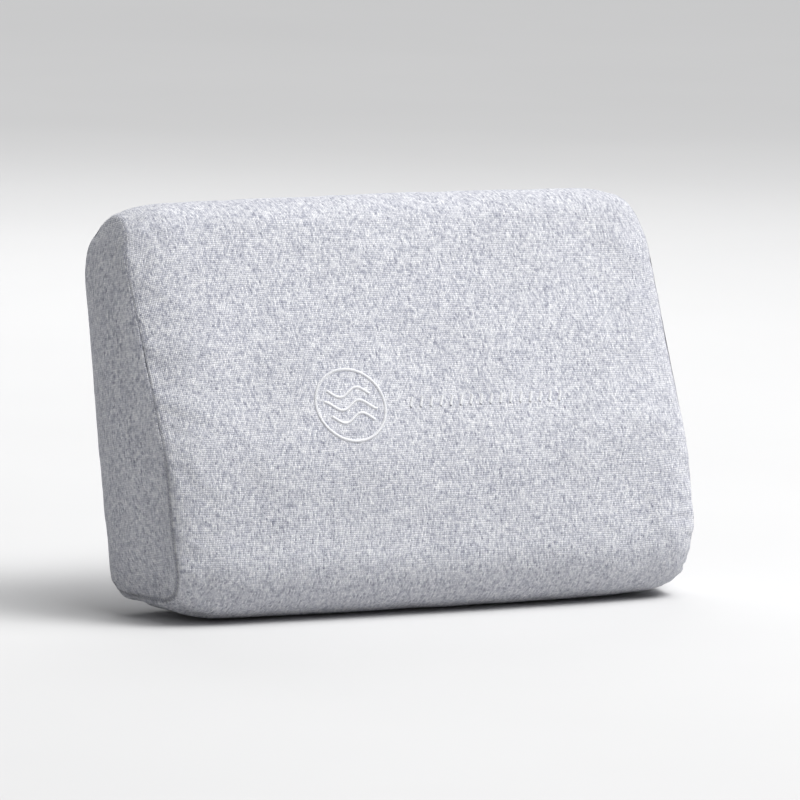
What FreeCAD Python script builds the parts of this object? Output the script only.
import FreeCAD, Part
import os
import math
from FreeCAD import Vector, Matrix

# Lumbar support cushion for a high-backed chair, with a zip and a buckled strap
# on its back. Millimetres.
#
# Every piece is drawn upright in the cushion frame:
#   x  across the cushion, left is negative
#   t  depth, 0 at the flat back, positive towards the front, negative outside the back
#   h  height along the back, 0 at the lower back edge
# All are then reclined into the pose of use, where +Z is up, the front faces -Y
# and the origin is the centre of the flat patch that the cushion rests on.

os.makedirs("parts", exist_ok=True)

# ---------------------------------------------------------------- cushion sizes
WIDTH = 316.0            # overall, over the two side panels
SEAM_X = 155.0           # half distance between the two side seams
HEIGHT = 205.0           # top plane above the lower back edge
DEPTH = 75.0             # fullest depth, near the bottom
KNEE_H = 68.0            # the front starts to slope back above this height
TOP_T = 40.0             # where the sloping front would meet the top plane
RECLINE = 13.0           # degrees that the back leans in use
R_BACK_LOW = 12.0
R_FRONT_LOW = 25.0
R_KNEE = 120.0
R_FRONT_TOP = 23.0
R_BACK_TOP = 16.5
RIM = 11.0               # roundness of the cushion at its two ends
FABRIC = 2.0             # cover thickness
GAP = 0.2                # gap left between sewn panels
BIG = 400.0              # reach of cutting blocks, well past the cushion

LINER_IN = 3.2           # liner's outer face, in from the cover's outside
LINER = 0.8              # liner thickness
LINER_BACK = 6.2         # liner's outer face behind the zip, from the back
FOAM_CLEARANCE = 0.3     # between liner and foam

# Side profile: t, h, corner radius
OUTLINE = [
    (0.0, 0.0, R_BACK_LOW),
    (DEPTH, -DEPTH * math.tan(math.radians(RECLINE)), R_FRONT_LOW),
    (DEPTH, KNEE_H, R_KNEE),
    (TOP_T, HEIGHT, R_FRONT_TOP),
    (0.0, HEIGHT, R_BACK_TOP),
]

# -------------------------------------------------------------- sizes of the zip
ZIP_H = 56.0             # zip centre line
ZIP_GAP = 6.0            # half height of the opening between the back panels
ZIP_OPEN = 130.0         # half length of that opening
TAPE_T0, TAPE_T1 = 2.1, 2.7
TAPE_EDGE = 1.3          # near edge of each tape, off the centre line
TAPE_WIDE = 13.0
TAPE_END = 138.0
TAPE_CLEARANCE = 0.08    # between the tape and the stops
COIL_T0, COIL_T1 = 0.6, 2.0
COIL_END = 121.0
SPINE_NEAR, SPINE_FAR = 1.65, 3.0   # spine edges, off the centre line
TOOTH_TIP = -1.3         # teeth reach this far past the centre line
TOOTH_PITCH = 2.0
TOOTH_W = 0.85
TOOTH_BEVEL = 0.16

SLIDER_X = 118.0         # slider centre, zip closed
SLIDER_L, SLIDER_W = 14.0, 9.6
OUTER_T0, OUTER_T1 = -0.95, 0.3     # slider plate outside the chain
INNER_T0, INNER_T1 = 3.0, 4.2       # slider plate inside the cover
BAIL = 3.4               # half length of the arch that holds the pull
BAIL_T = -3.7            # outermost face of that arch
PIN_X, PIN_T = SLIDER_X - 1.5, -1.85
PIN_R = 0.72
PULL_W = 3.2             # half width of the pull at its eye bar
PULL_THICK = 1.2

# ---------------------------------------------- sizes of the strap and hardware
STRAP_H = 137.0          # strap centre line
STRAP_W = 25.0
STRAP_T = 1.2
STRAP_H0, STRAP_H1 = STRAP_H - STRAP_W / 2, STRAP_H + STRAP_W / 2
STRAP_X = 153.0          # strap ends enter the cover here
NOTCH_X = 151.2          # notches in the back cover start here
LAYER_1 = -2.6           # mid-thickness of the strap layer next to the back
LAYER_2 = -4.1           # mid-thickness of the doubled-back layer
TACK_T = LAYER_2 - STRAP_T / 2      # outer face of the doubled-back layer

BUCKLE_T = -5.4          # mid-thickness plane of the buckle
BUCKLE_W = 33.0
BUCKLE_HALF = BUCKLE_W / 2
BUCKLE_THICK = 9.2
BUCKLE_T0, BUCKLE_T1 = BUCKLE_T - BUCKLE_THICK / 2, BUCKLE_T + BUCKLE_THICK / 2
BUCKLE_ROUND = 1.8
SOCKET_X0, SOCKET_X1 = -30.5, 6.0
PLUG_X0, PLUG_X1 = 6.3, 24.5
POCKET_W, POCKET_T = 14.0, 2.9      # half width and half thickness of the pocket
DISH_R, DISH_DEPTH = 26.0, 0.6
SLOT_W = 13.1            # half width of the strap slots
BAR_R = 1.25
BAR_L = 27.0
BAR_IN = 1.6             # bar centres, in from the buckle's ends
LOOP_R = BAR_R + 0.2 + STRAP_T / 2  # strap centre line round a bar
SOCKET_BAR_X = SOCKET_X0 + BAR_IN
PLUG_BAR_X = PLUG_X1 - BAR_IN
BAR_T = LAYER_1 - LOOP_R            # bar centres sit just outside the first layer

# Plug's upper side prong: x, distance from the strap centre line
PRONG = [
    (PLUG_X0 + 1.0, 12.6), (PLUG_X0 - 1.2, 12.9), (-4.9, 13.2), (-4.9, 15.7),
    (-8.0, 15.9), (-13.5, 14.6), (-16.1, 11.5), (-15.2, 9.6),
    (-9.5, 9.9), (-4.0, 10.5), (PLUG_X0 - 1.0, 8.4), (PLUG_X0 + 1.0, 8.0),
]

ADJUSTER_X = 92.0
ADJUSTER_X0, ADJUSTER_X1 = ADJUSTER_X - 8.5, ADJUSTER_X + 8.5
ADJUSTER_T0, ADJUSTER_T1 = -6.5, -0.75
ADJUSTER_W = 16.4        # half width over the rails
ADJUSTER_INNER = 12.85   # half width between the rails

# ----------------------------------------------------------- sizes of the emblem
EMBLEM_H = 92.0
EMBLEM_X = -48.0         # centre of the ring
THREAD = 0.5             # thread thickness
THREAD_LIFT = 0.03       # thread's underside above the fabric
RING_R = 19.4
MARK_W = 1.3             # thread width in the ring and waves
WAVES = [(-7.0, 11.9), (0.0, 14.6), (7.0, 11.9)]    # offset up the slope, half length
WAVE_HEIGHT, HALF_WAVE = 2.6, 10.1
WAVE_STEPS = 24
STITCH_COUNT, STITCH_X, STITCH_PITCH = 16, -13.0, 5.8
STITCH_W = 1.1


# ------------------------------------------------------------------- helpers
def point(x, t, h):
    """Cushion frame to model axes: depth runs along -Y."""
    return Vector(x, -t, h)


def band(centre, half):
    """The two limits of a span about a centre."""
    return centre - half, centre + half


def unit_direction(start, end):
    dp, dq = end[0] - start[0], end[1] - start[1]
    length = math.hypot(dp, dq)
    return dp / length, dq / length


def offset_polygon(points, distance):
    """Move each edge of a closed anticlockwise (p, q, r) polygon inwards."""
    lines = []
    for i, (p, q, _) in enumerate(points):
        up, uq = unit_direction(points[i], points[(i + 1) % len(points)])
        lines.append((p - uq * distance, q + up * distance, up, uq))
    moved = []
    for i, (_, _, radius) in enumerate(points):
        p1, q1, ap, aq = lines[i - 1]
        p2, q2, bp, bq = lines[i]
        along = ((p2 - p1) * bq - (q2 - q1) * bp) / (ap * bq - aq * bp)
        moved.append((p1 + along * ap, q1 + along * aq, max(radius - distance, 0.0)))
    return moved


def rounded_edges(points, place, closed=True):
    """Edges through (p, q, r) corners, each rounded by a tangent arc of radius r."""
    count = len(points)
    joins = []    # for each corner: arc start, arc middle or None, arc end
    for i, (p, q, radius) in enumerate(points):
        if (not closed and i in (0, count - 1)) or radius <= 1e-6:
            joins.append(((p, q), None, (p, q)))
            continue
        back = unit_direction(points[i], points[i - 1])
        ahead = unit_direction(points[i], points[(i + 1) % count])
        half = math.acos(back[0] * ahead[0] + back[1] * ahead[1]) / 2.0
        tangent = radius / math.tan(half)
        inward = unit_direction((0, 0), (back[0] + ahead[0], back[1] + ahead[1]))
        reach = radius / math.sin(half) - radius
        joins.append((
            (p + back[0] * tangent, q + back[1] * tangent),
            (p + inward[0] * reach, q + inward[1] * reach),
            (p + ahead[0] * tangent, q + ahead[1] * tangent)))
    edges = []
    for i, (start, middle, end) in enumerate(joins):
        if middle is not None:
            edges.append(Part.Arc(place(*start), place(*middle), place(*end)).toShape())
        if i == count - 1 and not closed:
            break
        following = joins[(i + 1) % count][0]
        if math.hypot(following[0] - end[0], following[1] - end[1]) > 1e-6:
            edges.append(Part.LineSegment(place(*end), place(*following)).toShape())
    return edges


def prism(points, x0, x1):
    """Solid with a (t, h, r) outline, running from x0 to x1."""
    wire = Part.Wire(rounded_edges(points, lambda t, h: point(x0, t, h)))
    return Part.Face(wire).extrude(Vector(x1 - x0, 0, 0))


def plate(points, t0, t1):
    """Solid with an (x, h, r) outline, running through the depth from t0 to t1."""
    wire = Part.Wire(rounded_edges(points, lambda x, h: point(x, t0, h)))
    return Part.Face(wire).extrude(Vector(0, -(t1 - t0), 0))


def box(x0, x1, t0, t1, h0, h1):
    return Part.makeBox(x1 - x0, t1 - t0, h1 - h0, Vector(x0, -t1, h0))


def rect(x0, x1, h0, h1, radius):
    return [(x0, h0, radius), (x1, h0, radius), (x1, h1, radius), (x0, h1, radius)]


def mirrored(stations, centre):
    """Closed outline from (x, half width, r) stations, symmetric about h = centre."""
    return ([(x, centre - half, r) for x, half, r in stations]
            + [(x, centre + half, r) for x, half, r in reversed(stations)])


def ribbon(path, thickness, h0, h1):
    """Strip of constant thickness that follows an (x, t, r) centre line."""
    directions = [unit_direction(a, b) for a, b in zip(path, path[1:])]
    sides = []
    for sign in (1.0, -1.0):
        offset = sign * thickness / 2.0
        side = []
        for i, (x, t, radius) in enumerate(path):
            ax, at = directions[max(i - 1, 0)]
            bx, bt = directions[min(i, len(directions) - 1)]
            nx, nt = unit_direction((0, 0), (-(at + bt), ax + bx))
            mitre = offset / (ax * nt - at * nx)
            inside = (ax * bt - at * bx) * sign > 0
            change = -thickness / 2.0 if inside else thickness / 2.0
            side.append((x + nx * mitre, t + nt * mitre, radius + change))
        sides.append(side)

    def place(x, t):
        return point(x, t, h0)

    edges = []
    for side in sides:
        edges += rounded_edges(side, place, closed=False)
    for end in (0, -1):
        first, second = (place(*side[end][:2]) for side in sides)
        edges.append(Part.LineSegment(first, second).toShape())
    wire = Part.Wire(Part.__sortEdges__(edges))
    return Part.Face(wire).extrude(Vector(0, 0, h1 - h0))


def at_x(edge, x):
    bounds = edge.BoundBox
    return abs(bounds.XMin - x) < 1e-4 and abs(bounds.XMax - x) < 1e-4


def at_depth(edge, t):
    bounds = edge.BoundBox
    return abs(bounds.YMin + t) < 1e-4 and abs(bounds.YMax + t) < 1e-4


def fillet_where(shape, radius, pick):
    return shape.makeFillet(radius, [edge for edge in shape.Edges if pick(edge)])


def rounded_plate(points, t0, t1, radius):
    """Plate with the edges of both its faces rounded."""
    return fillet_where(plate(points, t0, t1), radius,
                        lambda edge: at_depth(edge, t0) or at_depth(edge, t1))


def main_solid(shape):
    """The largest solid of a boolean's result."""
    return max(shape.Solids, key=lambda solid: solid.Volume)


# ------------------------------------------------------------ cover and filling
def envelope(inset):
    """The cushion's outside, moved in by inset, with its ends rounded over."""
    half = WIDTH / 2.0 - inset
    body = prism(offset_polygon(OUTLINE, inset), -half, half)
    return fillet_where(body, RIM - inset, lambda edge: at_x(edge, half) or at_x(edge, -half))


def cover_panels():
    """Front panel, side panels, and back panels that part round the zip."""
    skin = envelope(0.0).cut(envelope(FABRIC))
    wrap = skin.common(box(*band(0.0, SEAM_X - GAP / 2), -BIG, BIG, -BIG, BIG))

    # The back fabric ends in a straight seam along the cushion's top and bottom.
    seam_t = FABRIC + 0.1
    behind_t, bulge_t = -50.0, 20.0
    # t, h, corner radius
    back_zone = [
        (behind_t, -BIG, 0), (seam_t, -BIG, 0), (seam_t, 16.0, 0), (bulge_t, 24.0, 0),
        (bulge_t, HEIGHT - 26.0, 0), (seam_t, HEIGHT - 18.0, 0),
        (seam_t, BIG, 0), (behind_t, BIG, 0)]
    back_slab = prism(back_zone, -BIG, BIG)
    front_slab = box(-BIG, BIG, -BIG, BIG, -BIG, BIG).cut(
        prism(offset_polygon(back_zone, -GAP), -2 * BIG, 2 * BIG))

    side_x = SEAM_X + GAP / 2
    left = skin.common(box(-BIG, -side_x, -BIG, BIG, -BIG, BIG))
    right = skin.common(box(side_x, BIG, -BIG, BIG, -BIG, BIG))

    back = wrap.common(back_slab)
    opening = plate(rect(-ZIP_OPEN, ZIP_OPEN, *band(ZIP_H, ZIP_GAP), 2.5), -20, 20)
    upper = back.common(box(-BIG, BIG, -BIG, BIG, ZIP_H + GAP / 2, BIG)).cut(opening)
    # a notch at each side seam lets the strap ends in
    for x0, x1 in ((-BIG, -NOTCH_X), (NOTCH_X, BIG)):
        upper = upper.cut(box(x0, x1, -20, 20, STRAP_H0 - 0.4, STRAP_H1 + 0.4))
    lower = back.common(box(-BIG, BIG, -BIG, BIG, -BIG, ZIP_H - GAP / 2)).cut(opening)
    return {
        "front_panel": main_solid(wrap.common(front_slab)),
        "left_side_panel": main_solid(left),
        "right_side_panel": main_solid(right),
        "back_panel_upper": main_solid(upper),
        "back_panel_lower": main_solid(lower),
    }


def filling(inset, back_t):
    """Envelope moved in by inset, and cut off flat at back_t to clear the zip."""
    return envelope(inset).common(box(-BIG, BIG, back_t, BIG, -BIG, BIG))


def inner_liner():
    inside = filling(LINER_IN + LINER, LINER_BACK + LINER)
    return main_solid(filling(LINER_IN, LINER_BACK).cut(inside))


def foam_core():
    clear = LINER + FOAM_CLEARANCE
    return main_solid(filling(LINER_IN + clear, LINER_BACK + clear))


# ----------------------------------------------------------------------- zip
def beside_zip(side, near, far):
    """Lower and upper h of a band above (side 1) or below (side -1) the zip line."""
    return sorted((ZIP_H + side * near, ZIP_H + side * far))


def zipper_coil(side):
    """One half of the zip chain: a spine with interlocking teeth."""
    shoulder = TOOTH_TIP + 0.35
    outline = [(-COIL_END, SPINE_FAR), (-COIL_END, SPINE_NEAR)]
    # the lower teeth stand half a pitch along, between the upper ones
    x = -COIL_END + (0.5 if side > 0 else 0.5 + TOOTH_PITCH / 2)
    while x + TOOTH_W < COIL_END:
        outline += [
            (x, SPINE_NEAR), (x + 0.02, shoulder), (x + TOOTH_BEVEL, TOOTH_TIP),
            (x + TOOTH_W - TOOTH_BEVEL, TOOTH_TIP), (x + TOOTH_W - 0.02, shoulder),
            (x + TOOTH_W, SPINE_NEAR),
        ]
        x += TOOTH_PITCH
    outline += [(COIL_END, SPINE_NEAR), (COIL_END, SPINE_FAR)]
    loop = [point(px, COIL_T0, ZIP_H + side * off) for px, off in outline]
    face = Part.Face(Part.makePolygon(loop + [loop[0]]))
    return face.extrude(Vector(0, -(COIL_T1 - COIL_T0), 0))


def zipper_tape(side):
    heights = beside_zip(side, TAPE_EDGE, TAPE_EDGE + TAPE_WIDE)
    return plate(rect(-TAPE_END, TAPE_END, *heights, 0.4), TAPE_T0, TAPE_T1)


def zipper_top_stops():
    """A U clip on each tape edge, at the right end."""
    clips = []
    for side in (1, -1):
        clip = plate(rect(126.6, 129.0, *beside_zip(side, 0.45, 3.4), 0.3), 0.6, 3.4)
        clips.append(clip.cut(box(
            126, 130, TAPE_T0 - TAPE_CLEARANCE, TAPE_T1 + TAPE_CLEARANCE,
            *beside_zip(side, TAPE_EDGE - 0.1, 3.6))))
    return Part.makeCompound(clips)


def zipper_bottom_stop():
    """One bridge across both tapes, at the left end."""
    outline = rect(-124.6, -COIL_END - 0.2, *band(ZIP_H, 3.3), 0.8)
    return plate(outline, 0.3, TAPE_T0 - TAPE_CLEARANCE)


def zipper_slider():
    """Two plates joined by a nose, side flanges, and an arched bail outside."""
    x0, x1 = band(SLIDER_X, SLIDER_L / 2)
    half = SLIDER_W / 2
    body = mirrored([(x0, half - 0.9, 0.8), (x1 - 4.5, half, 2.0), (x1, half - 1.2, 1.6)], ZIP_H)
    block = rounded_plate(body, OUTER_T0, INNER_T1, 0.45)
    chain_room = box(x0 - 1, x1 + 1, OUTER_T1, INNER_T0, *band(ZIP_H, 3.25))
    tape_room = box(x0 - 1, x1 + 1, TAPE_T0 - 0.2, INNER_T0, *band(ZIP_H, 9))
    nose = plate([
        (x1 - 3.4, ZIP_H, 0.15), (x1 - 1.6, ZIP_H - 1.15, 0.3), (x1 - 0.5, ZIP_H - 0.7, 0.3),
        (x1 - 0.5, ZIP_H + 0.7, 0.3), (x1 - 1.6, ZIP_H + 1.15, 0.3)],
        OUTER_T0 + 0.5, INNER_T1 - 0.5)
    slider = block.cut(chain_room).cut(tape_room).fuse(nose)

    bail_x0, bail_x1 = band(SLIDER_X, BAIL)
    bail = prism([
        (-0.5, ZIP_H - 1.2, 0), (-0.5, ZIP_H + 1.2, 0),
        (BAIL_T, ZIP_H + 1.2, 0), (BAIL_T, ZIP_H - 1.2, 0)], bail_x0, bail_x1)
    bail = fillet_where(bail, 1.1, lambda edge: (
        at_depth(edge, BAIL_T) and (at_x(edge, bail_x0) or at_x(edge, bail_x1))))
    bail_hole = box(*band(SLIDER_X, 2.5), -2.75, OUTER_T0, *band(ZIP_H, 3))
    return main_solid(slider.fuse(bail).cut(bail_hole).removeSplitter())


def zipper_pull():
    """An eye bar under the bail, two arms beside it, and a waisted tab."""
    outline = mirrored([
        (PIN_X - 28.0, 3.6, 3.3), (PIN_X - 13.0, 2.3, 12.0),
        (PIN_X - 6.0, PULL_W, 3.0), (PIN_X + PIN_R, PULL_W, 0.7)], ZIP_H)
    tab = plate(outline, *band(PIN_T, PULL_THICK / 2))
    window = plate(rect(PIN_X - 5.7, PIN_X - 0.62, *band(ZIP_H, 1.6), 0.5), -6, 2)
    grip_hole = plate(rect(PIN_X - 25.5, PIN_X - 16.0, *band(ZIP_H, 1.6), 1.5), -6, 2)
    # the tab is cut off at the pin, where the round bar takes over
    trim = box(PIN_X - 0.01, PIN_X + 2, -8, 4, *band(ZIP_H, 9))
    arms = tab.cut(window).cut(grip_hole).cut(trim)
    eye_bar = Part.makeCylinder(
        PIN_R, 2 * PULL_W, point(PIN_X, PIN_T, ZIP_H - PULL_W), Vector(0, 0, 1))
    return main_solid(arms.fuse(eye_bar).removeSplitter())


# -------------------------------------------------------------------- straps
def strap(side, bar_x, end_x):
    """Strap from a side seam (1 right, -1 left), round a buckle bar and back."""
    turn_x = bar_x - side * LOOP_R
    turn_t = LAYER_1 - 2 * LOOP_R
    turn_r = LOOP_R - 0.02    # leaves a sliver of straight between the two arcs
    return ribbon([
        (side * STRAP_X, 4.2, 0), (side * STRAP_X, -1.0, 1.6), (side * 148.8, LAYER_1, 3.0),
        (turn_x, LAYER_1, turn_r), (turn_x, turn_t, turn_r),
        (bar_x + side * 3.0, turn_t, 4.0), (bar_x + side * 10.0, LAYER_2, 4.0),
        (end_x, LAYER_2, 0)], STRAP_T, STRAP_H0, STRAP_H1)


def strap_bar_tacks():
    """Pairs of thread tacks across the doubled-back strap."""
    outer_t, inner_t = TACK_T - 0.42, TACK_T - 0.04
    tacks = []
    for pair_x in (-60.5, -52.0, 129.5):
        for x in (pair_x, pair_x + 1.3):
            tack = box(*band(x, 0.45), outer_t, inner_t, STRAP_H0 + 2.0, STRAP_H1 - 2.0)
            tacks.append(fillet_where(
                tack, 0.14, lambda edge: edge.Length > 10 and at_depth(edge, outer_t)))
    return Part.makeCompound(tacks)


# -------------------------------------------------------------------- buckle
def strap_slot(x0, x1):
    return plate(rect(x0, x1, *band(STRAP_H, SLOT_W), 1.0), -20, 5)


def bar_room(x0, x1):
    """Cutter that clears the end of a buckle half, for the strap's round bar."""
    return box(x0, x1, -20, 5, *band(STRAP_H, SLOT_W))


def strap_bar(x):
    return Part.makeCylinder(BAR_R, BAR_L, point(x, BAR_T, STRAP_H - BAR_L / 2), Vector(0, 0, 1))


def buckle_socket():
    outline = mirrored([
        (SOCKET_X0, BUCKLE_HALF - 0.6, 3.0), (-21.0, BUCKLE_HALF - 0.6, 6.0),
        (-16.0, BUCKLE_HALF, 6.0), (SOCKET_X1, BUCKLE_HALF, 1.5)], STRAP_H)
    socket = rounded_plate(outline, BUCKLE_T0, BUCKLE_T1, BUCKLE_ROUND)
    pocket = box(-20.0, SOCKET_X1 + 1, *band(BUCKLE_T, POCKET_T), *band(STRAP_H, POCKET_W))
    side_windows = box(-16.5, -4.5, *band(BUCKLE_T, 2.6), *band(STRAP_H, 30))
    socket = socket.cut(pocket).cut(side_windows)
    socket = socket.cut(strap_slot(SOCKET_X0 + 3.3, SOCKET_X0 + 8.3))
    socket = socket.cut(bar_room(SOCKET_X0 - 1, SOCKET_X0 + 4.6))
    socket = socket.fuse(strap_bar(SOCKET_BAR_X)).removeSplitter()
    # shallow press marks on both faces
    for face in (-1, 1):
        centre_t = BUCKLE_T + face * (BUCKLE_THICK / 2 + DISH_R - DISH_DEPTH)
        socket = socket.cut(Part.makeSphere(DISH_R, point(-6.5, centre_t, STRAP_H)))
    return main_solid(socket)


def buckle_plug():
    outline = mirrored([
        (PLUG_X0, BUCKLE_HALF, 1.5), (PLUG_X1 - 8.0, BUCKLE_HALF, 6.0),
        (PLUG_X1, BUCKLE_HALF - 0.8, 3.0)], STRAP_H)
    plug = rounded_plate(outline, BUCKLE_T0, BUCKLE_T1, BUCKLE_ROUND)
    plug = plug.cut(strap_slot(PLUG_X1 - 9.0, PLUG_X1 - 3.3))
    plug = plug.cut(bar_room(PLUG_X1 - 4.6, PLUG_X1 + 1))
    plug = plug.fuse(strap_bar(PLUG_BAR_X))
    for side in (1, -1):
        # stepping through the table by side keeps both outlines turning one way
        prong = [(x, STRAP_H + side * off, 0.5) for x, off in PRONG[::side]]
        plug = plug.fuse(plate(prong, *band(BUCKLE_T, 2.2)))
    tongue = plate(rect(-14.5, PLUG_X0 + 1.0, *band(STRAP_H, 2.2), 1.2), *band(BUCKLE_T, 1.6))
    return main_solid(plug.fuse(tongue).removeSplitter())


def strap_adjuster():
    """Side rails, two bars outside the doubled strap and one next to the back."""
    x0, x1 = ADJUSTER_X0, ADJUSTER_X1
    inner = band(STRAP_H, ADJUSTER_INNER)
    adjuster = rounded_plate(
        rect(x0, x1, *band(STRAP_H, ADJUSTER_W), 2.6), ADJUSTER_T0, ADJUSTER_T1, 0.9)
    adjuster = adjuster.cut(box(x0 - 1, x1 + 1, -4.95, -1.8, *inner))
    adjuster = adjuster.cut(box(x0 + 3.0, x1 - 3.0, ADJUSTER_T0 - 1, -4.9, *inner))
    for start, end in ((x0 - 1, ADJUSTER_X - 1.9), (ADJUSTER_X + 1.9, x1 + 1)):
        adjuster = adjuster.cut(box(start, end, -1.85, ADJUSTER_T1 + 1, *inner))
    return main_solid(adjuster)


def care_label():
    """Folded label low on the back, near the right side seam."""
    return ribbon([
        (148.6, -0.45, 0), (119.0, -0.45, 0.42), (119.0, -1.3, 0.42), (147.4, -1.3, 0)],
        0.3, 18.0, 36.0)


# -------------------------------------------------------------------- emblem
def thread_path(points, width):
    """Flat strip of thread along (x, y) points."""
    left, right = [], []
    for i, (x, y) in enumerate(points):
        ux, uy = unit_direction(points[max(i - 1, 0)], points[min(i + 1, len(points) - 1)])
        nx, ny = -uy * width / 2, ux * width / 2
        left.append(Vector(x + nx, y + ny, THREAD_LIFT))
        right.append(Vector(x - nx, y - ny, THREAD_LIFT))
    loop = left + right[::-1]
    return Part.Face(Part.makePolygon(loop + [loop[0]])).extrude(Vector(0, 0, THREAD))


def thread_ring(radius, width):
    disc = Part.makeCylinder(radius + width / 2, THREAD, Vector(EMBLEM_X, 0, THREAD_LIFT))
    hole = Part.makeCylinder(radius - width / 2, THREAD + 2, Vector(EMBLEM_X, 0, -1))
    return disc.cut(hole)


def emblem_stitching():
    """Thread on the sloping front: a ring with three waves, and a row of chevrons.

    Drawn flat, with y up the slope and z out of the fabric.
    """
    marks = [thread_ring(RING_R, MARK_W)]
    for offset, half_length in WAVES:
        wave = []
        for i in range(WAVE_STEPS + 1):
            x = -half_length + 2 * half_length * i / WAVE_STEPS
            y = offset + WAVE_HEIGHT * math.sin(math.pi * x / HALF_WAVE)
            wave.append((EMBLEM_X + x, y))
        marks.append(thread_path(wave, MARK_W))
    for i in range(STITCH_COUNT):
        x = STITCH_X + STITCH_PITCH * i
        marks.append(thread_path([(x - 1.1, -2.6), (x, 0.0), (x + 1.1, 2.6)], STITCH_W))

    slope_t, slope_h = unit_direction((DEPTH, KNEE_H), (TOP_T, HEIGHT))
    surface_t = DEPTH + (TOP_T - DEPTH) * (EMBLEM_H - KNEE_H) / (HEIGHT - KNEE_H)
    base = point(0, surface_t, EMBLEM_H)
    onto_slope = Matrix(
        1, 0, 0, base.x,
        0, -slope_t, -slope_h, base.y,
        0, slope_h, -slope_t, base.z,
        0, 0, 0, 1)
    return Part.makeCompound(marks).transformGeometry(onto_slope)


# ------------------------------------------------- recline and place, export
def rest_centre():
    """Middle of the flat underside, measured forward from the lower back edge."""
    back_half_angle = math.radians(90.0 + RECLINE) / 2.0
    front_half_angle = math.radians(90.0 - RECLINE) / 2.0
    flat_start = R_BACK_LOW / math.tan(back_half_angle)
    underside = DEPTH / math.cos(math.radians(RECLINE))
    flat_end = underside - R_FRONT_LOW / math.tan(front_half_angle)
    return (flat_start + flat_end) / 2.0


pieces = cover_panels()
pieces.update({
    "inner_liner": inner_liner(),
    "foam_core": foam_core(),
    "zipper_coil_upper": zipper_coil(1),
    "zipper_coil_lower": zipper_coil(-1),
    "zipper_tape_upper": zipper_tape(1),
    "zipper_tape_lower": zipper_tape(-1),
    "zipper_top_stops": zipper_top_stops(),
    "zipper_bottom_stop": zipper_bottom_stop(),
    "zipper_slider": zipper_slider(),
    "zipper_pull": zipper_pull(),
    "strap_left": strap(-1, SOCKET_BAR_X, -64.0),
    "strap_right": strap(1, PLUG_BAR_X, 133.0),
    "strap_bar_tacks": strap_bar_tacks(),
    "buckle_socket": buckle_socket(),
    "buckle_plug": buckle_plug(),
    "strap_adjuster": strap_adjuster(),
    "care_label": care_label(),
    "emblem_stitching": emblem_stitching(),
})

for name, shape in pieces.items():
    shape.rotate(Vector(0, 0, 0), Vector(1, 0, 0), -RECLINE)
    shape.translate(Vector(0, rest_centre(), 0))
    shape.exportStep("parts/%s.step" % name)
